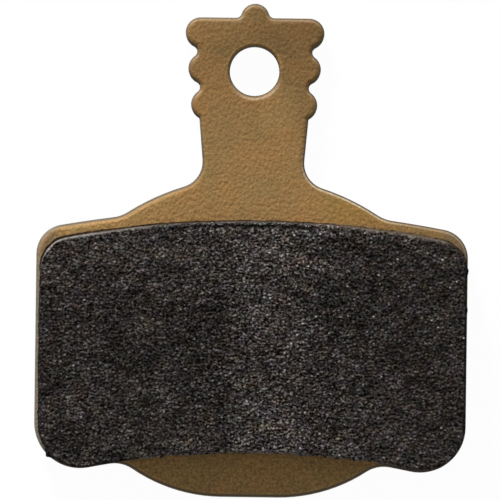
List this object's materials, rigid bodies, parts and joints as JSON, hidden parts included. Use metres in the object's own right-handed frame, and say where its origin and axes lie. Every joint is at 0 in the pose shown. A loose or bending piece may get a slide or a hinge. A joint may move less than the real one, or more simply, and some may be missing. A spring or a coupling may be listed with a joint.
{
  "type": "bicycle disc brake pad",
  "caption": "Flat brake pad: painted steel backing plate with an arched body, a necked tab with a pin hole and scalloped edges, and a moulded friction block on its front.",
  "frame": {"origin": "where the piston's axis meets the back of the plate", "axes": "+Z out of the friction face, towards the rotor; +Y from the piston's axis to the pin hole in the tab; +X to the right seen from the friction side"},
  "size_m": [0.033, 0.0377, 0.004],
  "materials": {
    "bronze_paint": "satin bronze paint with a fine grain",
    "friction_compound": "coarse dark resin-bonded compound"
  },
  "bodies": {
    "root": {"backing_plate": "bronze_paint", "friction_block": "friction_compound"}
  },
  "joints": []
}
